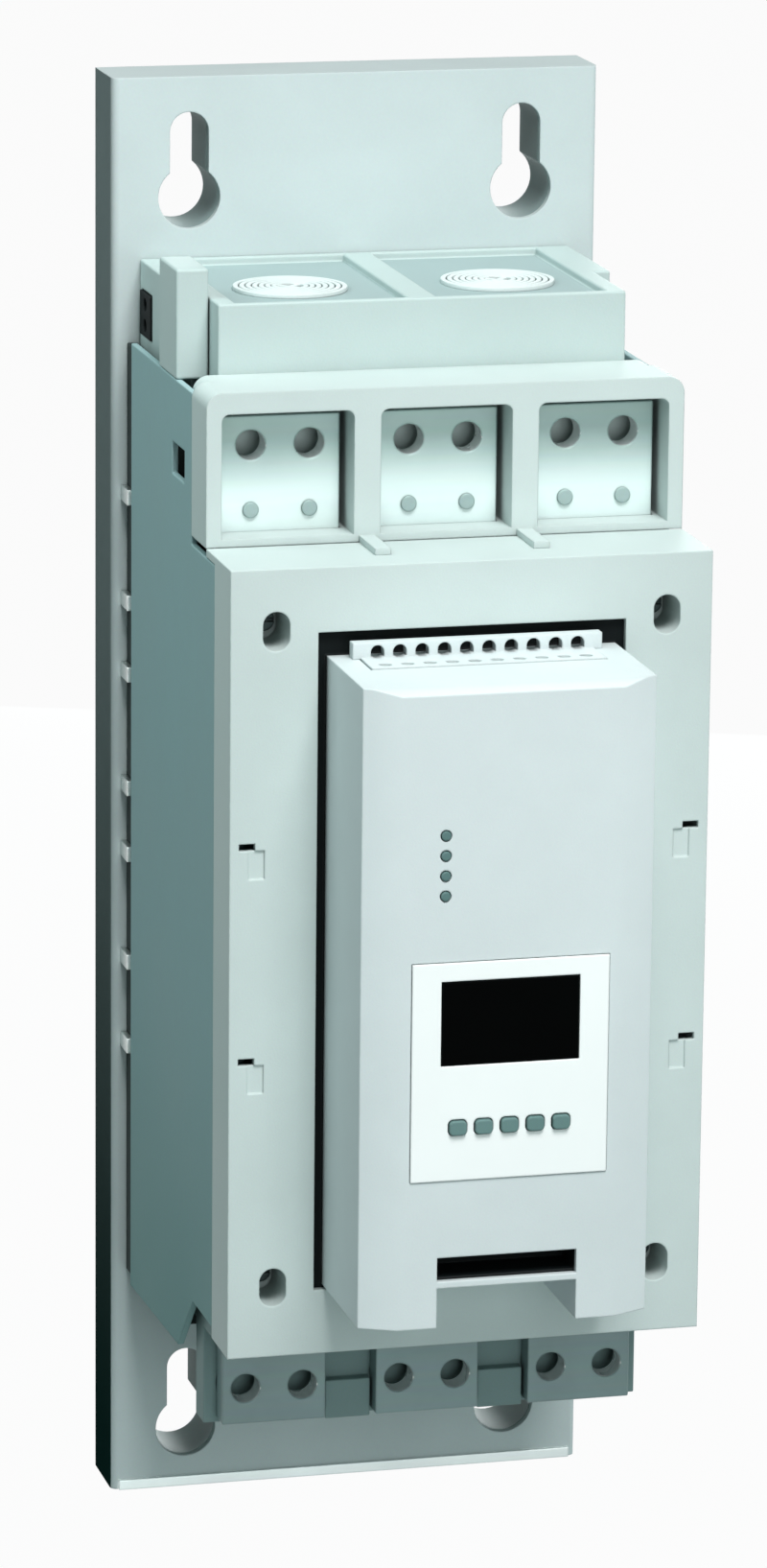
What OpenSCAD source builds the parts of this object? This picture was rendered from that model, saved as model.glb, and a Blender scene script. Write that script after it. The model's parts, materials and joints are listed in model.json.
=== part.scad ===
// Soft starter: wall plate, air-cooled power section, front cover and control module.
// Millimetres. X is right, Y goes into the wall, Z is up.
// The origin is on the wall plane, at the centre of the four keyhole entries.
// In the modules, d is the depth in front of the plate's face and h the height above its foot.

/* [Mounting plate] */
// Width of the folded plate
plate_w = 190; // [170:1:220]
// Height of the folded plate
plate_h = 560; // [500:1:620]
// Depth of the plate from the wall to its face
plate_d = 30; // [22:1:40]
// Thickness of the plate's sheet
plate_t = 3; // [2:0.5:4]
// Outer radius of the plate's long bends
bend_r = 3; // [3:0.5:6]

/* [Keyholes] */
// Distance from the keyholes to the plate's side edges
keyhole_side = 30; // [26:1:36]
// Height of the lower entries above the plate's lower edge
keyhole_low = 24; // [21:1:28]
// Distance from the upper entries to the plate's upper edge
keyhole_top = 46; // [41:1:52]
// Radius of the round entry
keyhole_r = 12; // [11:0.5:13]
// Half the width of the narrow slot
slot_r = 7.5; // [6:0.5:8]
// Rise from the entry to the end of the slot
slot_rise = 25; // [20:1:27]
// Wall of the spacer collar behind each keyhole
collar_t = 4; // [3:0.5:5]

/* [Power section] */
// Distance from the plate's edge to the side panel's face
body_inset = 5; // [3:0.5:8]
// Thickness of the side panels
side_t = 2.5; // [1.5:0.5:3]
// Gap between the plate and the side panels
standoff = 12; // [8:1:16]
// Height of the lower rear edge of the side panels
foot_low = 88; // [82:1:96]
// Distance from the plate's top to the side panels
side_drop = 99; // [96:1:108]
// Depth of the heat sink
sink_d = 74; // [66:1:82]
// Thickness of the heat sink's base
sink_base = 12; // [8:1:16]
// Thickness of one cooling fin
fin_t = 3; // [2:0.5:4]
// Number of cooling fins between the outer walls
fin_count = 13; // [9:1:15]
// Distance from the plate's top to the heat sink
sink_drop = 120; // [118:1:132]

/* [Fans] */
// Radius of the opening above each fan
fan_r = 19; // [17:0.5:22]
// Distance from the plate's top to the fan housing
hood_drop = 69; // [64:1:74]
// Distance from the side panels' faces to the rear of the fan housing
hood_rear_inset = 6; // [5:0.5:8]
// Distance from the side panels' faces to the front of the fan housing
hood_inset = 12.5; // [11:0.5:14]
// Thickness of the fan frames
fan_t = 20; // [18:1:22]
// Number of fan blades
blade_count = 7; // [5:1:9]
// Rise of the corner post above the fan housing
post_rise = 11; // [6:1:14]

/* [Terminals] */
// Wall between two terminal bays
bay_wall = 10; // [9:0.5:11]
// Room beside a bar in its bay
bar_room = 2.25; // [2:0.25:3]
// Distance from the plate's top to the line terminal housing
bay_drop = 95; // [88:1:100]
// Thickness of the roof over the bays
roof_t = 8; // [6:0.5:9]
// Radius of the housing's upper corners
corner_r = 6; // [4:0.5:7]
// Thickness of the terminal bars
bar_t = 10; // [8:0.5:11]
// Radius of the cable bolt holes
lug_r = 5.5; // [4.5:0.25:6]
// Distance between the two cable bolt holes
lug_pitch = 22; // [20:0.5:24]
// Distance from the ends of the bars to the cable bolt holes
lug_in = 14; // [12:0.5:16]
// How much narrower the load bars are
load_trim = 5; // [3:0.5:7]
// Lower end of the load bars
load_low = 68; // [62:1:74]

/* [Front cover] */
// Distance from the front of the bars to the cover's face
cover_lift = 53; // [48:1:58]
// Depth of the cover's side walls
cover_rim = 26; // [24:0.5:28]
// Wall of the cover
cover_t = 3; // [2.5:0.5:3.5]
// Lower edge of the cover
cover_low = 112; // [108:1:122]
// Distance from the plate's top to the cover
cover_drop = 152; // [148:1:166]
// Distance from the cover's sides to its screws
screw_inset = 17; // [15:0.5:18]

/* [Control module] */
// Distance from the cover's sides to the module
module_side = 36; // [34:0.5:40]
// Distance from the cover's lower edge to the module
module_foot = 26; // [24:0.5:30]
// Distance from the cover's upper edge to the module
module_head = 33; // [30:0.5:37]
// Distance from the cover's face to the module's face
module_lift = 58; // [52:1:64]
// Width of the bevels beside the flat face
bevel_w = 13; // [11:0.5:15]
// Depth of the bevels beside the flat face
bevel_d = 6; // [4:0.5:8]
// Wall of the module
module_t = 2.5; // [2:0.25:3]
// Distance from the flat face's edges to the port slot
port_inset = 15; // [12:0.5:18]
// Number of control wire entries
entry_count = 10; // [6:1:10]

/* [Keypad] */
// Distance from the flat face's edges to the keypad panel
panel_inset = 4.5; // [4:0.5:6]
// Height of the keypad panel
panel_h = 81; // [74:1:88]
// Distance from the panel's edges to the display window
lcd_inset = 11; // [9:0.5:13]
// Height of the display window
lcd_h = 31; // [27:0.5:34]
// Width of one key
key_w = 6.4; // [5.6:0.1:7]
// Height of one key
key_h = 5.3; // [4.8:0.1:5.8]
// Distance between the keys
key_pitch = 9.6; // [9.2:0.1:10.4]
// Travel of a key
key_travel = 0.8; // [0.4:0.1:1]
// Radius of the status lights
led_r = 1.8; // [1.4:0.1:2.2]
// Distance between the status lights
led_pitch = 7.4; // [6.6:0.1:8]

/* [Clearances] */
// Gap between parts that are fitted together
fit_gap = 0.4; // [0.3:0.05:0.6]
// Gap round each key
key_gap = 0.4; // [0.3:0.05:0.5]
// Gap between a fan's shaft and its rotor
shaft_gap = 0.4; // [0.3:0.05:0.6]
// Gap between the blade tips and the fan frame
tip_gap = 2.5; // [1.5:0.25:3]
// Gap round the module in the cover
module_gap = 3.5; // [2:0.25:4]
// Gap round a screw in its hole
screw_gap = 0.35; // [0.3:0.05:0.5]
// Gap between the boards and the parts beside them
board_gap = 2; // [1.5:0.25:3]

/* [Hidden] */
$fn = 48;
eps = 1;
plate_x = plate_w / 2;
keyhole_x = plate_x - keyhole_side;
keyhole_high = plate_h - keyhole_top;
body_x = plate_x - body_inset;
inner_x = body_x - side_t;
side_top = plate_h - side_drop;
sink_low = foot_low + 3;
sink_top = plate_h - sink_drop;
sink_wall = 9;
rail_x = body_x - 1;
bolt_hs = [sink_low + 44, (sink_low + sink_top) / 2, sink_top - 30];
grip_hs = [for (f = [0.84, 0.73, 0.655, 0.535, 0.465, 0.35, 0.26]) foot_low + f * (side_top - foot_low)];
hood_x = body_x - hood_inset;
hood_rear_x = body_x - hood_rear_inset;
hood_d = sink_d + 30;
hood_top = plate_h - hood_drop;
hood_step = hood_d - 44;
post_top = hood_top + post_rise;
slope_d = hood_d - 7;
hood_wall = 3;
hood_in = hood_x - hood_wall;
hood_rear_in = hood_rear_x - hood_wall;
step_in = hood_step - hood_wall;
rib_x = 5.5;
fan_x = (rib_x + hood_in) / 2;
fan_mid = hood_step;
deck_t = 3;
deck_top = hood_top - 3;
rim_in = hood_in - 4;
deck_low = deck_top - deck_t;
frame_r = fan_r + 1;
frame_half = fan_r + 4;
frame_low = deck_low - fan_t;
rotor_r = frame_r - tip_gap;
rotor_low = frame_low + 7;
rotor_high = deck_low - 1.5;
hub_r = 11;
shaft_r = 2;
phase_pitch = (2 * body_x - 1.5) / 3;
bay_w = phase_pitch - bay_wall;
bar_w = bay_w - 2 * bar_room;
load_w = bar_w - load_trim;
bar_d = hood_d + 13;
bar_front = bar_d + bar_t;
bay_front = bar_front + 13;
bay_top = plate_h - bay_drop;
bay_roof = bay_top - roof_t;
lug_x = lug_pitch / 2;
line_lug_h = bay_roof - lug_in;
load_lug_h = load_low + lug_in;
cover_d = bar_front + cover_lift;
cover_top = plate_h - cover_drop;
cover_in = cover_d - cover_t;
rim_d = cover_d - cover_rim;
side_front = rim_d - fit_gap;
flange_x = body_x - 28;
screw_x = body_x - screw_inset;
screw_hs = [cover_low + 26.5, cover_top - 23];
screw_r = 2;
head_r = 4;
pocket_w = 10;
pocket_h = 14.5;
pocket_d = rim_d + 3;
snap_hs = [cover_low + 113, cover_top - 102.4];
bay_low = cover_top + 3;
strap_h = bay_low + 8;
scr_front = sink_d + 30;
scr_high = cover_top - 46;
scr_low = scr_high - 100;
scr_hs = [scr_low + 12, scr_high - 12];
bolt_r = 4;
sensor_low = scr_low - 82;
sensor_high = sensor_low + 35;
board_d = bar_front + 7;
board_t = 1.6;
board_x = flange_x - board_gap;
post_hs = [cover_low + 53, cover_top - 28];
module_x = body_x - module_side;
module_low = cover_low + module_foot;
module_top = cover_top - module_head;
module_d = cover_d + module_lift;
face_x = module_x - bevel_w;
face_wall = module_d - module_t;
back_d = cover_d - 22;
back_in = back_d + module_t;
card_x = module_x - 8;
card_low = module_low + 12;
card_high = module_top - 18;
port_x = face_x - port_inset;
notch_h = module_low + 15;
port_low = notch_h + 2.5;
port_high = port_low + 9;
entry_d = cover_d + 2;
entry_end = entry_d + 22;
entry_pitch = (2 * module_x - 25) / entry_count;
entry_span = entry_count * entry_pitch / 2 + 2;
entry_x = 2.5;
entry_t = 5;
entry_wall = entry_span + 3;
entry_top = module_top + 6;
window_top = entry_top + 3;
entry_xs = [for (i = [0 : entry_count - 1]) (i - (entry_count - 1) / 2) * entry_pitch];
panel_x = face_x - panel_inset;
panel_mid = module_low + 0.405 * (module_top - module_low);
panel_low = panel_mid - panel_h / 2;
panel_top = panel_mid + panel_h / 2;
panel_seat = module_d - 1;
panel_front = module_d + 0.6;
display_d = module_d - 12;
lcd_x = panel_x - lcd_inset;
lcd_mid = panel_top - lcd_h / 2 - 7;
key_mid = panel_low + 19.8;
key_r = 1.6;
led_x = 16.5 - face_x;
led_top = panel_top + 46.8;
light = [0.75, 0.84, 0.82];
pale = [0.86, 0.9, 0.9];
slate = [0.42, 0.53, 0.53];
metal = [0.72, 0.76, 0.77];
dark = [0.1, 0.12, 0.12];
green = [0.13, 0.36, 0.25];

function y_of(d) = -plate_d - d;
function z_of(h) = h - (keyhole_low + keyhole_high) / 2;

// Box between two x, two depths and two heights.
module block(x0, x1, d0, d1, h0, h1) {
    translate([x0, y_of(d1), z_of(h0)])
        cube([x1 - x0, d1 - d0, h1 - h0]);
}

// Round rod along the depth.
module rod(x, h, d0, d1, r) {
    translate([x, y_of(d0), z_of(h)])
        rotate([90, 0, 0])
            cylinder(h = d1 - d0, r = r);
}

// Round rod along the height.
module pillar(x, d, h0, h1, r) {
    translate([x, y_of(d), z_of(h0)])
        cylinder(h = h1 - h0, r = r);
}

// Outline drawn in x and depth, raised between two heights.
module plan(h0, h1) {
    translate([0, y_of(0), z_of(h0)])
        mirror([0, 1, 0])
            linear_extrude(h1 - h0)
                children();
}

// Outline drawn in depth and height, run between two x.
module sideways(x0, x1) {
    translate([x1, y_of(0), z_of(0)])
        rotate([0, 0, -90])
            rotate([90, 0, 0])
                linear_extrude(x1 - x0)
                    children();
}

module both_sides() {
    children();
    mirror([1, 0, 0])
        children();
}

// Box whose two upper corners are rounded.
module arched(x, d0, d1, h0, h1, r) {
    block(-x, x, d0, d1, h0, h1 - r);
    block(r - x, x - r, d0, d1, h0, h1);
    both_sides()
        rod(x - r, h1 - r, d0, d1, r);
}

// Slot with round ends that stands upright.
module tall_slot(x, h, d0, d1, w, tall) {
    rise = (tall - w) / 2;
    rod(x, h - rise, d0, d1, w / 2);
    rod(x, h + rise, d0, d1, w / 2);
    block(x - w / 2, x + w / 2, d0, d1, h - rise, h + rise);
}

// Box with rounded corners, seen from the front.
module pad(x, h, d0, d1, w, tall, r) {
    block(x - w / 2, x + w / 2, d0, d1, h - tall / 2 + r, h + tall / 2 - r);
    block(x - w / 2 + r, x + w / 2 - r, d0, d1, h - tall / 2, h + tall / 2);
    for (u = [r - w / 2, w / 2 - r], v = [r - tall / 2, tall / 2 - r])
        rod(x + u, h + v, d0, d1, r);
}

module keyhole(x, h, d0, d1, grow) {
    rod(x, h, d0, d1, keyhole_r + grow);
    rod(x, h + slot_rise, d0, d1, slot_r + grow);
    block(x - slot_r - grow, x + slot_r + grow, d0, d1, h, h + slot_rise);
}

module at_keyholes(d0, d1, grow) {
    for (x = [-keyhole_x, keyhole_x], h = [keyhole_low, keyhole_high])
        keyhole(x, h, d0, d1, grow);
}

module at_plate_bolts(d0, d1, r) {
    for (x = [-1, 1], h = bolt_hs)
        rod(x * (inner_x - sink_wall / 2), h, d0, d1, r);
}

module mounting_plate() {
    color(light)
        difference() {
            union() {
                block(-plate_x, plate_x, -plate_d, -bend_r, 0, plate_h);
                block(bend_r - plate_x, plate_x - bend_r, -bend_r, 0, 0, plate_h);
                both_sides()
                    pillar(plate_x - bend_r, -bend_r, 0, plate_h, bend_r);
                block(bend_r - plate_x, plate_x - bend_r, -eps, 1.5, 0, 4);
            }
            block(
                plate_t - plate_x, plate_x - plate_t, -plate_d - eps, -plate_t,
                plate_t, plate_h - plate_t
            );
            at_keyholes(-plate_t - eps, eps, 0);
            at_plate_bolts(-plate_t - eps, eps, 2.5 + screw_gap);
        }
}

module keyhole_spacers() {
    color(metal)
        difference() {
            at_keyholes(-plate_d, -plate_t, collar_t);
            at_keyholes(-plate_d - eps, -plate_t + eps, 0);
        }
}

module plate_bolts() {
    color(metal) {
        at_plate_bolts(-plate_t - 4, -plate_t, 4.5);
        at_plate_bolts(-plate_t, 14, 2.5);
    }
}

// Folded sheet: a tall side and a flange behind the cover that takes its screws.
module side_panel(s) {
    shelf_low = cover_top - cover_t - fit_gap;
    color(slate)
        mirror([s < 0 ? 1 : 0, 0, 0])
            difference() {
                union() {
                    sideways(inner_x, body_x)
                        polygon([
                            [standoff, foot_low], [slope_d, foot_low + 3], [slope_d + 25, cover_low + 4],
                            [side_front, cover_low + 4], [side_front, shelf_low],
                            [bar_d - 1.4, shelf_low], [bar_d - 1.4, side_top], [standoff, side_top]
                        ]);
                    block(flange_x, inner_x, side_front - side_t, side_front, cover_low + 8, shelf_low);
                }
                for (h = screw_hs)
                    rod(screw_x, h, side_front - side_t - eps, side_front + eps, screw_r + screw_gap);
                block(inner_x - eps, body_x + eps, slope_d - 14, slope_d + 7, strap_h + 6, strap_h + 18);
            }
}

module side_panel_left() {
    side_panel(-1);
}

module side_panel_right() {
    side_panel(1);
}

// Clips that hold the side panels off the plate.
module side_clips() {
    color(metal)
        both_sides()
            for (h = grip_hs)
                block(rail_x, body_x + 1.5, 0, standoff, h - 3, h + 3);
}

module heat_sink() {
    clear = 2 * (inner_x - sink_wall);
    color(metal)
        difference() {
            union() {
                block(-inner_x, inner_x, sink_d - sink_base, sink_d, sink_low, sink_top);
                both_sides() {
                    block(inner_x - sink_wall, inner_x, 0, sink_d, sink_low, sink_top);
                    block(inner_x - side_t, rail_x, 0, standoff, sink_low, side_top - 2);
                }
                for (i = [1 : fin_count])
                    translate([i * clear / (fin_count + 1) - clear / 2, 0, 0])
                        block(-fin_t / 2, fin_t / 2, 3, sink_d - sink_base, sink_low, sink_top);
            }
            at_plate_bolts(-eps, 14 + fit_gap, 2.5 + screw_gap);
        }
}

// Air duct on top of the heat sink, with a rimmed deck over the two fans.
module fan_housing() {
    color(light)
        difference() {
            union() {
                block(-hood_rear_x, hood_rear_x, 0, hood_step, sink_top, hood_top);
                block(-hood_x, hood_x, hood_step, hood_d, sink_top, hood_top);
            }
            block(-hood_rear_in, hood_rear_in, hood_wall, step_in, sink_top - eps, deck_low);
            block(-hood_in, hood_in, step_in - eps, sink_d, sink_top - eps, deck_low);
            block(-hood_in, hood_in, hood_step, hood_d - hood_wall, sink_top + hood_wall, deck_low);
            both_sides() {
                block(rib_x, rim_in, hood_wall, hood_d - hood_wall, deck_top, hood_top + eps);
                pillar(fan_x, fan_mid, deck_low - eps, deck_top + eps, fan_r);
            }
            block(
                -hood_rear_x - eps, -hood_rear_in + eps, hood_wall, hood_wall + 18,
                side_top + 2, side_top + 19
            );
        }
}

// Rubber grommet that fills the side of the fan housing where the fan wires pass.
module cable_grommet() {
    color(dark)
        difference() {
            union() {
                block(
                    -hood_rear_x - 0.8, -hood_rear_in + 2, hood_wall, hood_wall + 18,
                    side_top + 2, side_top + 19
                );
                block(
                    -hood_rear_in, -hood_rear_in + 2, hood_wall, hood_wall + 20,
                    side_top, side_top + 21
                );
            }
            for (h = [side_top + 6.5, side_top + 14.5])
                translate([-hood_rear_x - 2, y_of(hood_wall + 9), z_of(h)])
                    rotate([0, 90, 0])
                        cylinder(h = 8, r = 2.5);
        }
}

module fan_frame(s) {
    color(dark)
        translate([s * fan_x, y_of(fan_mid), z_of(frame_low)]) {
            difference() {
                translate([-frame_half, -frame_half, 0])
                    cube([2 * frame_half, 2 * frame_half, fan_t]);
                translate([0, 0, -eps])
                    cylinder(h = fan_t + 2 * eps, r = frame_r);
            }
            for (a = [45, 135])
                rotate([0, 0, a])
                    translate([-frame_r - 2, -2, 0])
                        cube([2 * frame_r + 4, 4, 3]);
            cylinder(h = 6, r = hub_r - 1);
            cylinder(h = fan_t - 5, r = shaft_r);
        }
}

module fan_frame_left() {
    fan_frame(-1);
}

module fan_frame_right() {
    fan_frame(1);
}

// Rotor that turns on the frame's shaft; its blades are set at a steep angle.
module fan_rotor(s) {
    tall = rotor_high - rotor_low;
    color(pale)
        translate([s * fan_x, y_of(fan_mid), z_of(rotor_low)])
            difference() {
                union() {
                    cylinder(h = tall, r = hub_r);
                    intersection() {
                        cylinder(h = tall, r = rotor_r);
                        for (i = [0 : blade_count - 1])
                            rotate([0, 0, i * 360 / blade_count])
                                translate([hub_r - 2, 0, tall / 2])
                                    rotate([s * 48, 0, 0])
                                        translate([0, -1, -tall])
                                            cube([rotor_r, 2, 2 * tall]);
                    }
                }
                translate([0, 0, -eps])
                    cylinder(h = fan_t - 12 + 1.5 + eps, r = shaft_r + shaft_gap);
            }
}

module fan_rotor_left() {
    fan_rotor(-1);
}

module fan_rotor_right() {
    fan_rotor(1);
}

// Ring guard that lies on the deck over a fan.
module fan_guard(s) {
    tall = 1.6;
    pitch = (fan_r - 4.5) / 6;
    color(pale)
        translate([s * fan_x, y_of(fan_mid), z_of(deck_top)]) {
            for (r = [for (i = [0 : 6]) 5 + i * pitch])
                difference() {
                    cylinder(h = tall, r = r + 1.9);
                    translate([0, 0, -eps])
                        cylinder(h = tall + 2 * eps, r = r);
                }
            for (a = [0, 90])
                rotate([0, 0, a + 45])
                    translate([-fan_r - 1.2, -1.2, 0])
                        cube([2 * fan_r + 2.4, 2.4, tall - 0.4]);
        }
}

module fan_guard_left() {
    fan_guard(-1);
}

module fan_guard_right() {
    fan_guard(1);
}

// Post that stands on the left side panel, beside the fan housing.
module corner_post() {
    color(light)
        block(-body_x, -hood_x - fit_gap, hood_step + fit_gap, hood_d - 14, side_top, post_top);
}

module at_line_screws(d0, d1, r) {
    for (i = [-1 : 1], x = [-lug_x, lug_x])
        rod(i * phase_pitch + x, strap_h, d0, d1, r);
}

module at_lugs(h, d0, d1, r) {
    for (i = [-1 : 1], x = [-lug_x, lug_x])
        rod(i * phase_pitch + x, h, d0, d1, r);
}

// Three open bays for the line cables, with a roof, ribs and a slotted floor.
module line_terminal_housing() {
    color(light)
        difference() {
            union() {
                arched(inner_x - fit_gap, hood_d, bar_d - 1, cover_top, bay_top, corner_r);
                arched(body_x, bar_d - 1, bay_front, cover_top, bay_top, corner_r);
                both_sides()
                    block(
                        phase_pitch / 2 - 3, phase_pitch / 2 + 3, bay_front - eps, bay_front + 24,
                        cover_top, cover_top + 2.5
                    );
            }
            for (i = [-1 : 1])
                translate([i * phase_pitch, 0, 0]) {
                    arched(bay_w / 2, bar_d, bay_front + eps, bay_low, bay_roof, corner_r / 2);
                    block(
                        -bar_w / 2 - fit_gap, bar_w / 2 + fit_gap,
                        bar_d, bar_front + fit_gap, cover_top - eps, bay_low + eps
                    );
                }
            at_lugs(line_lug_h, bar_d - 9, bar_d + eps, 9);
            at_line_screws(bar_d - 9, bar_d + eps, screw_r + screw_gap);
        }
}

module line_terminal(i) {
    color(metal)
        translate([i * phase_pitch, 0, 0])
            difference() {
                block(-bar_w / 2, bar_w / 2, bar_d, bar_front, scr_hs[1] - 10, bay_roof - corner_r / 2);
                for (x = [-lug_x, lug_x]) {
                    rod(x, line_lug_h, bar_d - eps, bar_front + eps, lug_r);
                    rod(x, strap_h, bar_d - eps, bar_front + eps, screw_r + screw_gap);
                }
                rod(0, scr_hs[1], bar_d - eps, bar_front + eps, bolt_r + screw_gap);
            }
}

module line_terminal_1() {
    line_terminal(-1);
}

module line_terminal_2() {
    line_terminal(0);
}

module line_terminal_3() {
    line_terminal(1);
}

module terminal_screws() {
    color(metal) {
        at_line_screws(bar_d - 8, bar_front, screw_r);
        at_line_screws(bar_front, bar_front + 1.2, 3);
    }
}

module load_terminal(i) {
    color(metal)
        translate([i * phase_pitch, 0, 0])
            difference() {
                block(-load_w / 2, load_w / 2, bar_d, bar_front, load_low, scr_hs[0] + 10);
                for (x = [-lug_x, lug_x])
                    rod(x, load_lug_h, bar_d - eps, bar_front + eps, lug_r);
                rod(0, scr_hs[0], bar_d - eps, bar_front + eps, bolt_r + screw_gap);
            }
}

module load_terminal_1() {
    load_terminal(-1);
}

module load_terminal_2() {
    load_terminal(0);
}

module load_terminal_3() {
    load_terminal(1);
}

// Insulating base under the power parts: a slotted floor, and a wall with spacers behind the load bars.
module load_terminal_housing() {
    floor_low = cover_low - 8;
    wide = inner_x - 3;
    color(slate)
        difference() {
            union() {
                block(-wide, wide, sink_d, side_front - side_t - 1, floor_low, cover_low);
                block(-wide, wide, hood_d, bar_d, load_low - 2, floor_low + eps);
                both_sides()
                    block(
                        load_w / 2 + 1, phase_pitch - load_w / 2 - 1, bar_d - eps, bar_d + 5,
                        load_low - 2, load_low + 13
                    );
            }
            for (i = [-1 : 1])
                translate([i * phase_pitch, 0, 0])
                    block(
                        -load_w / 2 - fit_gap, load_w / 2 + fit_gap,
                        bar_d, bar_front + fit_gap, floor_low - eps, cover_low + eps
                    );
            at_lugs(load_lug_h, bar_d - 9, bar_d + eps, 9);
        }
}

// Power switch for one phase: a block on the heat sink with two terminal studs.
module thyristor(i) {
    color(dark)
        translate([i * phase_pitch, 0, 0])
            difference() {
                union() {
                    block(1.5 - bar_w / 2, bar_w / 2 - 1.5, sink_d, scr_front, scr_low, scr_high);
                    for (h = scr_hs)
                        rod(0, h, scr_front - eps, bar_d, 8);
                }
                for (h = scr_hs)
                    rod(0, h, bar_d - 12, bar_d + eps, bolt_r + screw_gap);
            }
}

module thyristor_1() {
    thyristor(-1);
}

module thyristor_2() {
    thyristor(0);
}

module thyristor_3() {
    thyristor(1);
}

module bar_bolts() {
    color(metal)
        for (i = [-1 : 1], h = scr_hs) {
            rod(i * phase_pitch, h, bar_d - 11, bar_front, bolt_r);
            rod(i * phase_pitch, h, bar_front, bar_front + 5, 7);
        }
}

// Current sensor: a block on the heat sink that the load bar passes through.
module current_sensor(i) {
    color(dark)
        translate([i * phase_pitch, 0, 0])
            difference() {
                block(-bar_w / 2 - 3, bar_w / 2 + 3, sink_d, bar_front + 5, sensor_low, sensor_high);
                block(
                    -load_w / 2 - 1, load_w / 2 + 1, bar_d - 1, bar_front + 1,
                    sensor_low - eps, sensor_high + eps
                );
            }
}

module current_sensor_1() {
    current_sensor(-1);
}

module current_sensor_2() {
    current_sensor(0);
}

module current_sensor_3() {
    current_sensor(1);
}

module at_board_posts(d0, d1, r) {
    for (x = [-1, 1], h = post_hs)
        rod(x * phase_pitch / 2, h, d0, d1, r);
}

module board_posts() {
    color(metal)
        at_board_posts(sink_d, board_d, 3.5);
}

module driver_board() {
    color(green) {
        block(-board_x, board_x, board_d, board_d + board_t, post_hs[0] - 15, post_hs[1] + 15);
        for (i = [-1 : 1])
            translate([i * board_x * 0.6, 0, 0]) {
                block(-10, 10, board_d + 1, board_d + 13, post_hs[1] - 50, post_hs[1] - 30);
                block(-14, 14, board_d + 1, board_d + 9, post_hs[0] + 15, post_hs[0] + 27);
            }
    }
}

// Cover with a shelf on top, a window for the module and four deep screw pockets.
module front_cover() {
    color(light)
        difference() {
            union() {
                difference() {
                    block(-body_x, body_x, rim_d, cover_d, cover_low, cover_top);
                    block(
                        cover_t - body_x, body_x - cover_t, rim_d - eps, cover_in,
                        cover_low + cover_t, cover_top - cover_t
                    );
                }
                block(
                    -body_x, body_x, bay_front + fit_gap, rim_d + eps,
                    cover_top - cover_t, cover_top
                );
                for (x = [-screw_x, screw_x], h = screw_hs)
                    tall_slot(x, h, rim_d, cover_in + eps, pocket_w + 4, pocket_h + 4);
            }
            block(
                -module_x - module_gap, module_x + module_gap, rim_d - 2 * eps, cover_d + eps,
                module_low - 1.5, window_top
            );
            for (x = [-screw_x, screw_x], h = screw_hs) {
                tall_slot(x, h, pocket_d, cover_d + eps, pocket_w, pocket_h);
                rod(x, h, rim_d - eps, pocket_d + eps, screw_r + screw_gap);
            }
            both_sides()
                for (h = snap_hs) {
                    block(body_x - 9.5, body_x - 3.5, cover_in - eps, cover_d + eps, h - 1.3, h + 1.3);
                    block(body_x - 13, body_x - 7, cover_d - 0.8, cover_d + eps, h - 12, h - 1.3);
                }
        }
}

// Screws in the corner pockets, with a slot across each head.
module cover_screws() {
    color(metal)
        for (x = [-screw_x, screw_x], h = screw_hs)
            difference() {
                union() {
                    rod(x, h, rim_d - 8, pocket_d, screw_r);
                    rod(x, h, pocket_d, pocket_d + 3, head_r);
                }
                block(x - 5, x + 5, pocket_d + 2, pocket_d + 4, h - 0.6, h + 0.6);
            }
}

// Tray that closes the module from behind; its rim is held behind the cover.
module module_back() {
    color(pale)
        difference() {
            union() {
                block(-module_x, module_x, back_d, cover_d - 2, module_low + fit_gap, module_top);
                block(
                    -module_x - 8, module_x + 8, cover_in - 2.6, cover_in,
                    module_low - 6, window_top + 5
                );
            }
            block(
                module_t - module_x, module_x - module_t, back_in, cover_d,
                module_low + fit_gap + module_t, module_top - module_t
            );
        }
}

module control_board() {
    color(green) {
        block(-card_x, card_x, back_in + 5, back_in + 5 + board_t, card_low, card_high);
        block(-20, 20, back_in + 6, back_in + 9, panel_mid, panel_mid + 40);
        block(6 - card_x, card_x - 6, back_in + 6, back_in + 11, card_high - 22, card_high - 12);
        for (x = [6 - card_x, card_x - 6], h = [card_low + 6, card_high - 6])
            rod(x, h, back_in, back_in + 5.5, 3);
    }
}

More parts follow.
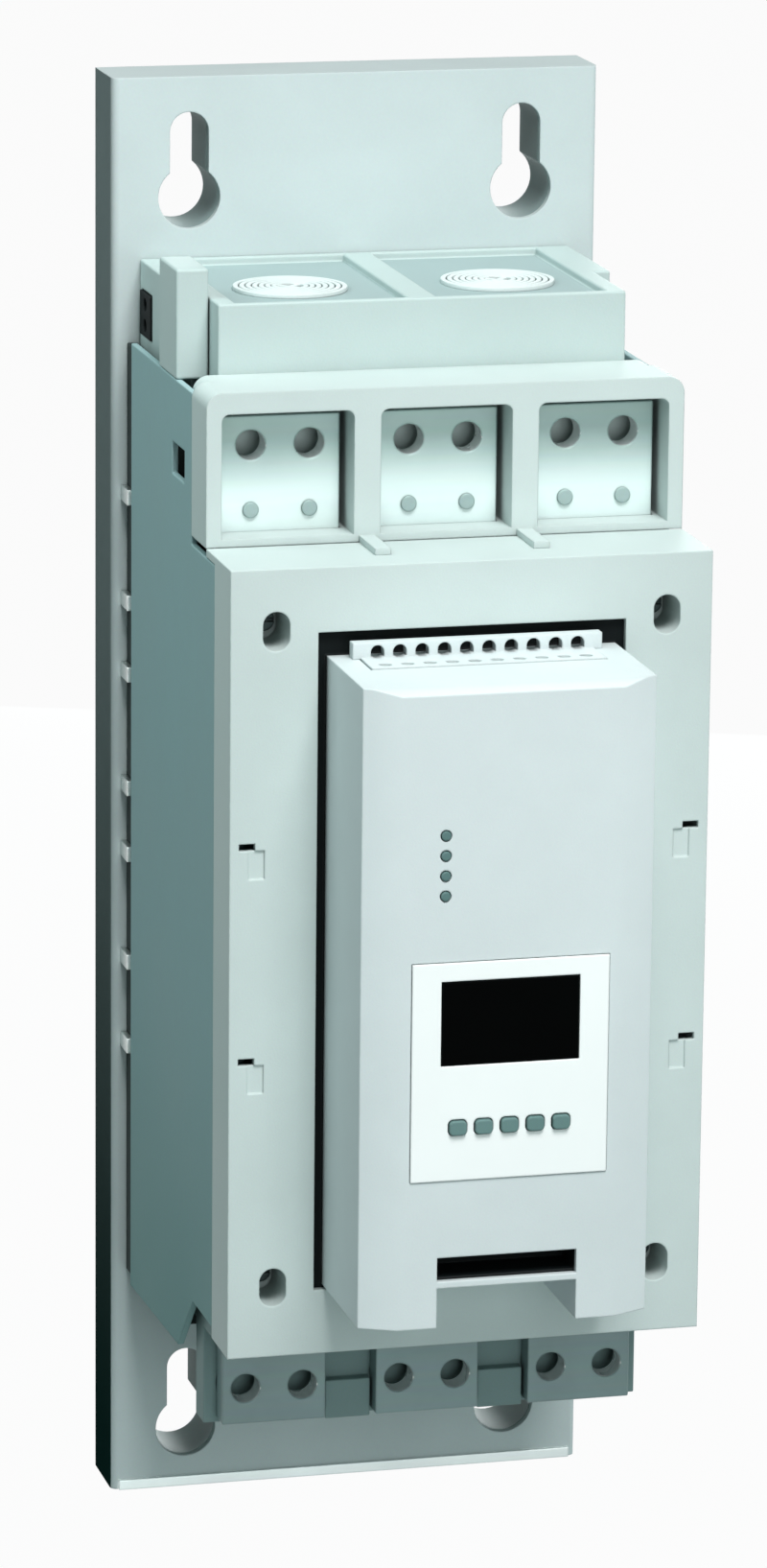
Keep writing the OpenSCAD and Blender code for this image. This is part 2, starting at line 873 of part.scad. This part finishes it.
// Front shell of the control module, with a bevelled face and a notch at its lower end.
module module_housing() {
    color(pale)
        difference() {
            union() {
                difference() {
                    plan(module_low, module_top)
                        polygon([
                            [-module_x, cover_d - 2], [-module_x, module_d - bevel_d],
                            [-face_x, module_d], [face_x, module_d],
                            [module_x, module_d - bevel_d], [module_x, cover_d - 2]
                        ]);
                    difference() {
                        plan(module_low + module_t, module_top - 6)
                            polygon([
                                [module_t - module_x, cover_d - 3],
                                [module_t - module_x, module_d - bevel_d - module_t / 2],
                                [1 - face_x, face_wall], [face_x - 1, face_wall],
                                [module_x - module_t, module_d - bevel_d - module_t / 2],
                                [module_x - module_t, cover_d - 3]
                            ]);
                        block(
                            -port_x - module_t, port_x + module_t, cover_d - 4, module_d,
                            module_low, port_low
                        );
                    }
                }
                for (x = [-1, 1], h = [panel_low + 4, panel_top - 4])
                    rod(x * (panel_x - 1), h, display_d + board_t, face_wall + 0.5, 2);
            }
            sideways(-module_x - eps, module_x + eps)
                polygon([
                    [module_d - 5, module_top + eps / 4], [module_d + eps, module_top + eps / 4],
                    [module_d + eps, module_top - 3]
                ]);
            block(-port_x, port_x, cover_d + 1, module_d + eps, module_low - eps, notch_h);
            block(-port_x, port_x, face_wall - eps, module_d + eps, port_low, port_high);
            block(
                -panel_x - 0.2, panel_x + 0.2, panel_seat, module_d + eps,
                panel_low - 0.2, panel_top + 0.2
            );
            block(4 - panel_x, panel_x - 4, face_wall - eps, module_d, panel_low + 7, panel_top - 3);
            block(
                -entry_span - fit_gap, entry_span + fit_gap, entry_d - fit_gap, entry_end,
                module_top - 7, module_top + eps
            );
            for (i = [0 : 3])
                rod(led_x, led_top - i * led_pitch, face_wall - eps, module_d + eps, led_r + 0.3);
        }
}

// Terminal strip in the module's top: an upright row of arched wire entries and a screw for each.
module control_terminals() {
    color(pale)
        difference() {
            union() {
                block(
                    -entry_span, entry_span, entry_d, entry_end - fit_gap,
                    module_top - 16, module_top + 0.5
                );
                block(-entry_wall, entry_wall, entry_d, entry_d + entry_t, module_top, entry_top);
                block(
                    -entry_wall, entry_wall, entry_d, entry_end - fit_gap,
                    module_top - 16, module_top - 6
                );
            }
            for (x = entry_xs) {
                block(
                    x - entry_x, x + entry_x, entry_d - eps, entry_d + entry_t + eps,
                    module_top + 0.8, entry_top - 1 - entry_x
                );
                rod(x, entry_top - 1 - entry_x, entry_d - eps, entry_d + entry_t + eps, entry_x);
                pillar(x, entry_d + 16.5, module_top - 8, module_top + 2, screw_r + screw_gap);
            }
        }
}

module control_terminal_screws() {
    color(metal)
        for (x = entry_xs)
            pillar(x, entry_d + 16.5, module_top - 8, module_top, screw_r);
}

// Dark socket behind the port slot.
module port_socket() {
    color(dark)
        difference() {
            block(-port_x - 2, port_x + 2, face_wall - 18, face_wall, port_low, port_high + 2);
            block(-port_x, port_x, face_wall - 16, face_wall + eps, port_low + 1, port_high);
        }
}

module display_board() {
    color(green)
        block(
            -panel_x - 3, panel_x + 3, display_d, display_d + board_t,
            panel_low + 1, panel_top - 1
        );
}

module lcd_display() {
    color(metal)
        block(
            -lcd_x - 2, lcd_x + 2, display_d + board_t, panel_seat - 1,
            lcd_mid - lcd_h / 2 - 2, lcd_mid + lcd_h / 2 + 2
        );
}

module lcd_window() {
    color(dark)
        block(
            -lcd_x, lcd_x, panel_seat - 1, module_d + 0.3,
            lcd_mid - lcd_h / 2, lcd_mid + lcd_h / 2
        );
}

module keypad_panel() {
    color([0.96, 0.98, 0.97])
        difference() {
            block(-panel_x, panel_x, panel_seat, panel_front, panel_low, panel_top);
            block(
                -lcd_x - 0.2, lcd_x + 0.2, panel_seat - eps, panel_front + eps,
                lcd_mid - lcd_h / 2 - 0.2, lcd_mid + lcd_h / 2 + 0.2
            );
            for (i = [-2 : 2])
                pad(
                    i * key_pitch, key_mid, panel_seat - eps, panel_front + eps,
                    key_w + 2 * key_gap, key_h + 2 * key_gap, key_r + key_gap
                );
        }
}

// Springy sheet under the keys.
module keypad_mat() {
    color(dark)
        block(
            -2 * key_pitch - key_w, 2 * key_pitch + key_w, display_d + board_t, display_d + board_t + 0.5,
            key_mid - key_h, key_mid + key_h
        );
}

// Key with a flange behind the panel; its stem stops one travel and a little above the mat.
module key(i) {
    back = display_d + board_t + 0.5 + key_travel + 0.3;
    color(dark)
        translate([i * key_pitch, 0, 0]) {
            pad(0, key_mid, panel_seat - 1, panel_front + 1.4, key_w, key_h, key_r);
            block(
                -key_w / 2 - 1, key_w / 2 + 1, panel_seat - 2.5, panel_seat - fit_gap,
                key_mid - key_h / 2 - 1, key_mid + key_h / 2 + 1
            );
            block(-2, 2, back, panel_seat - 2, key_mid - 2, key_mid + 2);
        }
}

module key_1() {
    key(-2);
}

module key_2() {
    key(-1);
}

module key_3() {
    key(0);
}

module key_4() {
    key(1);
}

module key_5() {
    key(2);
}

// Four status lights on one strip behind the face.
module status_lights() {
    color([0.2, 0.4, 0.36]) {
        block(
            led_x - 3.5, led_x + 3.5, face_wall - 2, face_wall,
            led_top - 3 * led_pitch - 4, led_top + 4
        );
        for (i = [0 : 3])
            rod(led_x, led_top - i * led_pitch, face_wall - 1, module_d + 0.5, led_r);
    }
}

mounting_plate();
keyhole_spacers();
plate_bolts();
side_panel_left();
side_panel_right();
side_clips();
heat_sink();
fan_housing();
cable_grommet();
fan_frame_left();
fan_frame_right();
fan_rotor_left();
fan_rotor_right();
fan_guard_left();
fan_guard_right();
corner_post();
line_terminal_housing();
line_terminal_1();
line_terminal_2();
line_terminal_3();
terminal_screws();
load_terminal_housing();
load_terminal_1();
load_terminal_2();
load_terminal_3();
thyristor_1();
thyristor_2();
thyristor_3();
bar_bolts();
current_sensor_1();
current_sensor_2();
current_sensor_3();
board_posts();
driver_board();
front_cover();
cover_screws();
module_back();
control_board();
module_housing();
control_terminals();
control_terminal_screws();
port_socket();
display_board();
lcd_display();
lcd_window();
keypad_panel();
keypad_mat();
key_1();
key_2();
key_3();
key_4();
key_5();
status_lights();
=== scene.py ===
"""Looks of the wall-mounted soft starter: finishes, softened edges, stage, light and camera."""

import json
import math

import bmesh
import bpy
from mathutils import Matrix, Vector


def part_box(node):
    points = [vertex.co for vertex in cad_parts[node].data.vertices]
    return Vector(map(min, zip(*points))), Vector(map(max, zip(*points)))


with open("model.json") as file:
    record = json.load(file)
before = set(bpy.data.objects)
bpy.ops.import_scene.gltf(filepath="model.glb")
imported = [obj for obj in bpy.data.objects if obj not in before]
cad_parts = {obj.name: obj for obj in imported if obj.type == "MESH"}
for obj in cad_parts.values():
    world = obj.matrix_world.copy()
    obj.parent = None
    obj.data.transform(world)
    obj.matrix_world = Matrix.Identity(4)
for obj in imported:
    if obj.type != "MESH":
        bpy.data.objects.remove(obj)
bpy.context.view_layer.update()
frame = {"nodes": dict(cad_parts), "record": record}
nodes = frame["nodes"]
scene = bpy.context.scene

WHITE = (1, 1, 1, 1)


def srgb(r, g, b):
    """An 8-bit screen colour as the linear RGBA that shaders take."""
    out = []
    for v in (r, g, b):
        v = v / 255
        out.append(v / 12.92 if v <= 0.04045 else ((v + 0.055) / 1.055) ** 2.4)
    return (*out, 1.0)


def mixed(a, b, t):
    return tuple(x + (y - x) * t for x, y in zip(a, b))


def brighter(colour, factor):
    """A colour times a factor, no brighter than white."""
    return tuple(min(1, c * factor) for c in colour[:3]) + (1,)


class Graph:
    """A material's or world's node tree, emptied and then built node by node."""

    def __init__(self, tree):
        self.tree = tree
        tree.nodes.clear()

    def add(self, kind, inputs=None, **settings):
        """Add a node, set its properties, then link its inputs to sockets or set them to values."""
        node = self.tree.nodes.new("ShaderNode" + kind)
        for key, value in settings.items():
            setattr(node, key, value)
        for key, value in (inputs or {}).items():
            if isinstance(value, bpy.types.NodeSocket):
                self.tree.links.new(value, node.inputs[key])
            else:
                node.inputs[key].default_value = value
        return node

    def blend(self, a, b, factor, blend_type="MIX"):
        """The colour that two colours blend to."""
        inputs = {"Factor": factor, "A": a, "B": b}
        return self.add("Mix", inputs, data_type="RGBA", blend_type=blend_type).outputs["Result"]

    def ranged(self, value, source, target=(0.0, 1.0), interpolation_type="LINEAR"):
        """A value carried from one range to another."""
        inputs = {"Value": value, "From Min": source[0], "From Max": source[1],
                  "To Min": target[0], "To Max": target[1]}
        return self.add("MapRange", inputs, interpolation_type=interpolation_type).outputs["Result"]

    def seen(self):
        """1 on rays that show the backdrop to the camera, directly or in a gloss, else 0."""
        path = self.add("LightPath").outputs
        direct = self.add("Math", {0: path["Is Camera Ray"], 1: path["Is Glossy Ray"]}, operation="MAXIMUM")
        inputs = {0: direct.outputs["Value"], 1: path["Is Transmission Ray"]}
        return self.add("Math", inputs, operation="MAXIMUM").outputs["Value"]


# Finishes ------------------------------------------------------------------

CLOUD_SCALE = 14.0  # per metre, for the mottle and the uneven gloss
CLOUD_RANGE = (0.3, 0.7)
SPECK = 0.10
EDGE_SIZE = 0.0009  # metres from an edge
EDGE_RANGE = (0.99, 0.80)  # cosine between the face and its rounded edge
EDGE_PALE = 0.45
HOLLOW_REACH = 0.011  # metres
HOLLOW_RANGE = (0.0, 0.62)
SHADE_WAVE = 0.012  # metres that the edge of the painted shade by height wanders
GRAIN_DEPTH = 0.0004  # metres
COAT_ROUGH = 0.15


def finish(name, colour, rough, metal=0.0, grain=1400.0, bump=0.06, mottle=0.05, edge=0.25, edge_colour=None,
           brushed=(1, 1, 1), coat=0.0, spec=0.5, rough_span=0.08, hollow_shade=0.5, height_shade=None):
    """A moulded, painted or plated surface: mottle, grain, edges paled as wear and as painted highlight,
    painted shade in hollows and uneven gloss.

    Colours are 8-bit. The painted shade by height is a colour and the heights where it starts and where it
    is full.
    """
    colour = srgb(*colour)
    wear_and_highlight_colour = srgb(*edge_colour) if edge_colour else mixed(colour, WHITE, EDGE_PALE)
    material = bpy.data.materials.new(name)
    material.use_nodes = True
    graph = Graph(material.node_tree)

    place = graph.add("TexCoord").outputs["Object"]
    inputs = {"Vector": place, "Scale": CLOUD_SCALE, "Detail": 5.0, "Roughness": 0.6}
    cloud = graph.add("TexNoise", inputs).outputs["Fac"]
    along = graph.add("Mapping", {"Vector": place, "Scale": brushed}).outputs["Vector"]
    fine = graph.add("TexNoise", {"Vector": along, "Scale": grain, "Detail": 2.0}).outputs

    ramp = graph.add("ValToRGB", {"Fac": cloud})
    ends = ramp.color_ramp.elements
    ends[0].position, ends[1].position = CLOUD_RANGE
    ends[0].color = brighter(colour, 1 - mottle)
    ends[1].color = brighter(colour, 1 + mottle * 0.6)
    ground = ramp.outputs["Color"]
    # Painted shade: the colour turns to the shade colour between the two given heights.
    if height_shade:
        height_shade_colour, start, full = height_shade
        height = graph.add("SeparateXYZ", {"Vector": place}).outputs["Z"]
        wander = graph.add("Math", {0: cloud, 1: SHADE_WAVE, 2: height}, operation="MULTIPLY_ADD")
        reach = graph.ranged(wander.outputs["Value"], (start + SHADE_WAVE / 2, full + SHADE_WAVE / 2),
                             interpolation_type="SMOOTHSTEP")
        ground = graph.blend(ground, srgb(*height_shade_colour), reach)
    specked = graph.blend(ground, fine["Color"], SPECK, "SOFT_LIGHT")

    rounded = graph.add("Bevel", {"Radius": EDGE_SIZE}, samples=4).outputs["Normal"]
    flat = graph.add("NewGeometry").outputs["Normal"]
    facing = graph.add("VectorMath", {0: rounded, 1: flat}, operation="DOT_PRODUCT").outputs["Value"]
    # The edges are paled, partly as wear and partly as a painted highlight.
    rim = graph.ranged(facing, EDGE_RANGE, (0.0, edge))
    broken = graph.add("Math", {0: rim, 1: cloud}, operation="MULTIPLY").outputs["Value"]
    wear_and_highlight = graph.blend(specked, wear_and_highlight_colour, broken)

    # Painted shade: the colour is darkened by the given amount where ambient occlusion finds faces close by,
    # in hollows, gaps and holes.
    hollow = graph.add("AmbientOcclusion", {"Distance": HOLLOW_REACH}, samples=6).outputs["AO"]
    hollow_shaded = graph.blend(wear_and_highlight, graph.ranged(hollow, HOLLOW_RANGE, (1.0 - hollow_shade, 1.0)), 1.0, "MULTIPLY")

    gloss = graph.ranged(cloud, CLOUD_RANGE, (max(0.02, rough - rough_span), min(1.0, rough + rough_span)))
    inputs = {"Strength": bump, "Distance": GRAIN_DEPTH, "Height": fine["Fac"], "Normal": rounded}
    relief = graph.add("Bump", inputs).outputs["Normal"]
    surface = graph.add("BsdfPrincipled", {
        "Base Color": hollow_shaded, "Roughness": gloss, "Normal": relief, "Metallic": metal,
        "Specular IOR Level": spec, "Coat Weight": coat, "Coat Roughness": COAT_ROUGH,
    })
    graph.add("OutputMaterial", {"Surface": surface.outputs["BSDF"]})
    return material


PAINT = dict(rough=0.6, grain=900, bump=0.05, edge=0.3, spec=0.0)
MOULDED = dict(rough=0.55, bump=0.10, spec=0.15)
TINNED = dict(grain=420, brushed=(0.06, 1, 1), bump=0.10, edge=0.35)
FINISHES = {
    "plate_paint": dict(PAINT, colour=(200, 212, 212)),
    # Painted shade: the side panels turn darker towards the bottom.
    "side_paint": dict(PAINT, colour=(160, 187, 189), bump=0.06, edge=0.35, spec=0.02,
                       height_shade=((138, 169, 168), -0.02, -0.2)),
    # Painted shade: the plate's left wall turns near black towards the bottom.
    "plate_wall_shaded": dict(PAINT, colour=(206, 217, 217), height_shade=((28, 58, 54), 0.29, -0.27)),
    "zinc": dict(colour=(205, 212, 210), rough=0.32, metal=0.9, grain=700, bump=0.04, mottle=0.12, edge=0.2),
    "dark_steel": dict(colour=(60, 72, 72), rough=0.4, metal=0.8, grain=700, mottle=0.2, edge=0.4,
                       edge_colour=(170, 180, 178)),
    # Painted shade: the heat sink is near black, so the gaps beside it read as dark.
    "cast_aluminium": dict(colour=(34, 43, 43), rough=0.55, grain=500, brushed=(1, 1, 0.05), bump=0.08,
                           mottle=0.1, edge=0.3, spec=0.1),
    "collar_steel": dict(colour=(128, 146, 145), rough=0.55, metal=0.1, grain=700, mottle=0.2, edge=0.3,
                         spec=0.1, hollow_shade=0.7),
    "bare_edge": dict(colour=(214, 226, 225), rough=0.35, metal=0.75, grain=700, brushed=(0.06, 1, 1),
                      bump=0.05, mottle=0.08, edge=0.2, hollow_shade=0.1),
    # Painted shade: a darker copy of the hood plastic for the recessed deck of the fan housing.
    "deck_painted_shade": dict(MOULDED, colour=(160, 178, 178), rough=0.6, spec=0.1),
    "light_plastic": dict(MOULDED, colour=(198, 210, 208)),
    "hood_plastic": dict(MOULDED, colour=(187, 202, 200)),
    "grey_plastic": dict(MOULDED, colour=(124, 146, 145), rough=0.6),
    "pale_plastic": dict(MOULDED, colour=(212, 221, 222), rough=0.5, bump=0.08),
    "dark_plastic": dict(colour=(18, 23, 24), rough=0.6, edge=0.15, mottle=0.15, spec=0.06),
    "fan_plastic": dict(colour=(222, 230, 229), rough=0.5, spec=0.2),
    "white_guard": dict(colour=(220, 228, 227), rough=0.5, edge=0.2, spec=0.1, hollow_shade=0.45),
    # Painted shade: the line terminals turn darker towards the top, where the roof of their bays shades
    # them.
    "tin_shaded_at_top": dict(TINNED, colour=(214, 229, 227), rough=0.42, metal=0.2, mottle=0.1,
                         height_shade=((156, 178, 174), 0.151, 0.174)),
    # Painted shade: a darker copy of the tin for the load terminals, which sit in the cover's shadow.
    "tin_in_painted_shade": dict(TINNED, colour=(122, 144, 144), rough=0.5, metal=0.25, mottle=0.18),
    "bare_bore": dict(colour=(238, 244, 243), rough=0.3, metal=0.5, grain=420, mottle=0.08, edge=0.2,
                      hollow_shade=0.0),
    "screw_tin": dict(colour=(150, 170, 168), rough=0.5, metal=0.3, grain=600, mottle=0.15, edge=0.3),
    "board_green": dict(colour=(40, 110, 78), rough=0.4, coat=0.2, mottle=0.15),
    "display_metal": dict(colour=(150, 158, 158), rough=0.4, metal=0.8),
    "display_window": dict(colour=(3, 4, 4), rough=0.3, grain=300, bump=0.01, mottle=0.2, edge=0.3,
                           edge_colour=(60, 68, 68), rough_span=0.04, spec=0.01),
    "white_panel": dict(colour=(248, 252, 251), rough=0.45, grain=1000, bump=0.03, mottle=0.02, edge=0.15,
                        spec=0.15),
    "key_rubber": dict(colour=(104, 134, 132), rough=0.65, grain=1600, bump=0.12, mottle=0.1, spec=0.1),
    "light_lens": dict(colour=(84, 116, 114), rough=0.3, coat=0.1, bump=0.02, mottle=0.15, spec=0.2),
}
MATERIALS = {name: finish(name, **look) for name, look in FINISHES.items()}

SLOT_OF = {p["node"]: p["material_slot"] for p in frame["record"]["subparts"]}
OWN = {
    "fan_housing": "hood_plastic", "corner_post": "hood_plastic",
    "keyhole_spacers": "collar_steel", "terminal_screws": "screw_tin",
}
# The line terminals take tin with painted shade at the top, the load terminals a darker tin as painted
# shade.
for i in (1, 2, 3):
    OWN[f"line_terminal_{i}"] = "tin_shaded_at_top"
    OWN[f"load_terminal_{i}"] = "tin_in_painted_shade"
for name, obj in nodes.items():
    obj.data.materials.clear()
    obj.data.materials.append(MATERIALS[OWN.get(name, SLOT_OF[name])])
    for face in obj.data.polygons:
        face.material_index = 0


def other_finish(name, finish_name, chosen):
    """Give the faces of a node whose centre and normal meet the test a finish of their own."""
    obj = nodes[name]
    obj.data.materials.append(MATERIALS[finish_name])
    index = len(obj.data.materials) - 1
    for face in obj.data.polygons:
        centre = obj.matrix_world @ face.center
        if chosen(centre, face.normal):
            face.material_index = index


HEM_H, HEM_D = 0.0041, 0.0016
SKIN = 0.0005
DECK_DROP = (-0.004, -0.0015)  # from the rim of the fan housing
BORE_SLACK = 0.0003
ALONG, ACROSS = 0.9, 0.1  # cosines of a face along and across an axis

plate_low, hood_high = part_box("mounting_plate")[0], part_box("fan_housing")[1]
other_finish("mounting_plate", "bare_edge",
             lambda c, n: c.z < plate_low[2] + HEM_H and c.y < plate_low[1] + HEM_D)
# The plate's left wall gets painted shade that darkens towards the bottom.
other_finish("mounting_plate", "plate_wall_shaded", lambda c, n: n.x < -ALONG and c.x < plate_low[0] + SKIN)
# The recessed deck of the fan housing gets a darker copy of its plastic as painted shade.
other_finish("fan_housing", "deck_painted_shade",
             lambda c, n: n.z > ALONG and DECK_DROP[0] < c.z - hood_high[2] < DECK_DROP[1])
for mount in frame["record"]["mounts"]:
    if "_lugs_" not in mount["name"]:
        continue
    half, bore = mount["dims"]["spacing_x_mm"] / 2000, mount["dims"]["hole_r_mm"] / 1000
    x0, _, z0 = mount["pos_m"]
    other_finish(
        mount["name"].replace("lugs", "terminal"), "bare_bore",
        lambda c, n: abs(n.y) < ACROSS and math.hypot(abs(c.x - x0) - half, c.z - z0) < bore + BORE_SLACK)


# Softened edges ------------------------------------------------------------

# Widths in mm: as wide as each mesh takes without a torn face.
BEVEL_MM = {
    "mounting_plate": 0.1, "keyhole_spacers": 0.5, "side_panel_left": 0.5, "side_panel_right": 0.5,
    "side_clips": 0.3, "heat_sink": 0.3, "fan_housing": 0.8, "corner_post": 1.0,
    "fan_guard_left": 0.15, "fan_guard_right": 0.15,
    "line_terminal_housing": 0.8, "load_terminal_housing": 0.5,
    "front_cover": 0.25, "module_housing": 0.25, "module_back": 0.5, "cable_grommet": 0.4,
    "control_terminals": 0.1, "keypad_panel": 0.25, "lcd_window": 0.2, "port_socket": 0.3,
    "cover_screws": 0.3, "terminal_screws": 0.4, "control_terminal_screws": 0.3,
    "status_lights": 0.4, "plate_bolts": 0.5,
}
for kind in ("line", "load"):
    for i in (1, 2, 3):
        BEVEL_MM[f"{kind}_terminal_{i}"] = 0.7
for i in range(1, 6):
    BEVEL_MM[f"key_{i}"] = 0.45
WELD_WITHIN = 0.00001  # metres
FLAT_WITHIN, SHARP_FROM = math.radians(0.4), math.radians(32)

for name, obj in nodes.items():
    if name not in BEVEL_MM:
        continue
    weld = obj.modifiers.new("weld", "WELD")
    weld.merge_threshold = WELD_WITHIN
    plain = obj.modifiers.new("plain", "DECIMATE")
    plain.decimate_type = "DISSOLVE"
    plain.angle_limit = FLAT_WITHIN
    plain.delimit = {"NORMAL", "MATERIAL"}
    soft = obj.modifiers.new("soft", "BEVEL")
    soft.width = BEVEL_MM[name] / 1000
    soft.segments = 3
    soft.limit_method = "ANGLE"
    soft.angle_limit = SHARP_FROM
    soft.loop_slide = False
    # Only this mesh has corners that spike at full width.
    soft.use_clamp_overlap = name == "line_terminal_housing"
    shade = obj.modifiers.new("shade", "WEIGHTED_NORMAL")
    shade.weight = 60


# Stage ---------------------------------------------------------------------

FLOOR_Z, FLOOR_HALF = -0.56, 12
FLOOR_GLOW = 0.96  # share of plain white that the camera sees; the rest takes the shadow

world = bpy.data.worlds.new("studio")
scene.world = world
world.use_nodes = True
graph = Graph(world.node_tree)
fill = graph.add("Background", {"Color": (0.72, 1.0, 0.98, 1), "Strength": 0.1})
backdrop = graph.add("Background", {"Color": WHITE, "Strength": 1.0})
inputs = {"Fac": graph.seen(), 1: fill.outputs["Background"], 2: backdrop.outputs["Background"]}
graph.add("OutputWorld", {"Surface": graph.add("MixShader", inputs).outputs["Shader"]})

floor_mesh = bpy.data.meshes.new("floor")
fb = bmesh.new()
bmesh.ops.create_grid(fb, x_segments=1, y_segments=1, size=FLOOR_HALF)
fb.to_mesh(floor_mesh)
fb.free()
floor = bpy.data.objects.new("floor", floor_mesh)
scene.collection.objects.link(floor)
floor.location = (0, 0, FLOOR_Z)
floor_white = bpy.data.materials.new("floor_white")
floor_white.use_nodes = True
graph = Graph(floor_white.node_tree)
pale = graph.add("BsdfDiffuse", {"Color": (0.3, 0.35, 0.35, 1)})
glow = graph.add("Emission", {"Strength": 1.0})
share = graph.add("Math", {0: graph.seen(), 1: FLOOR_GLOW}, operation="MULTIPLY")
inputs = {"Fac": share.outputs["Value"], 1: pale.outputs["BSDF"], 2: glow.outputs["Emission"]}
graph.add("OutputMaterial", {"Surface": graph.add("MixShader", inputs).outputs["Shader"]})
floor_mesh.materials.append(floor_white)


# Light ---------------------------------------------------------------------

COOL, PALE_COOL, SHADE_COOL = (0.92, 1.0, 1.0), (0.94, 1.0, 1.0), (0.8, 1.0, 0.99)


def lamp(name, place, aim, size, watts, colour=(1, 1, 1)):
    """A soft rectangular lamp that faces the point it is aimed at."""
    data = bpy.data.lights.new(name, "AREA")
    data.shape = "RECTANGLE"
    data.size, data.size_y = size
    data.energy = watts
    data.color = colour
    obj = bpy.data.objects.new(name, data)
    scene.collection.objects.link(obj)
    obj.location = place
    obj.rotation_mode = "QUATERNION"
    obj.rotation_quaternion = (Vector(aim) - Vector(place)).to_track_quat("-Z", "Y")
    return obj


lamp("key", (0.05, -1.45, 1.95), (0, -0.1, 0.05), (1.0, 0.9), 55)
lamp("front", (0.0, -2.6, 0.2), (0, -0.15, 0.0), (0.9, 1.6), 18.5, COOL)
lamp("back", (0.9, 2.3, 0.1), (0, 0, 0), (1.2, 1.6), 34, PALE_COOL)
lamp("right", (2.0, 0.3, 0.15), (0, -0.1, 0), (0.8, 1.4), 14, PALE_COOL)
left = lamp("left", (-0.7, -0.12, 0.85), (-0.05, -0.1, 0.25), (0.5, 0.5), 4.4, SHADE_COOL)
# The left lamp fills the shaded side of the body and leaves the plate's wall dark.
body_only = bpy.data.collections.new("body_only")
for name, obj in nodes.items():
    if name != "mounting_plate":
        body_only.objects.link(obj)
left.light_linking.receiver_collection = body_only


# Camera --------------------------------------------------------------------

CAMERA_TURN = (-14.3587, 13.7601, 0.5682)  # azimuth, elevation and roll in degrees
CAMERA_PLACE = (-0.6498, -2.6199, 0.667)

camera_data = bpy.data.cameras.new("camera")
camera = bpy.data.objects.new("camera", camera_data)
scene.collection.objects.link(camera)
scene.camera = camera
azimuth, elevation, roll = (math.radians(v) for v in CAMERA_TURN)
back = Vector((math.sin(azimuth) * math.cos(elevation), -math.cos(azimuth) * math.cos(elevation),
               math.sin(elevation)))
right = Vector((0, 0, 1)).cross(back).normalized()
up = back.cross(right)
right, up = right * math.cos(roll) + up * math.sin(roll), up * math.cos(roll) - right * math.sin(roll)
turn = Matrix((right, up, back)).transposed().to_4x4()
camera.matrix_world = Matrix.Translation(CAMERA_PLACE) @ turn
camera_data.sensor_fit = "AUTO"
camera_data.sensor_width = 36
camera_data.lens = 162.43
camera_data.clip_start, camera_data.clip_end = 0.05, 60

scene.view_settings.view_transform = "Standard"
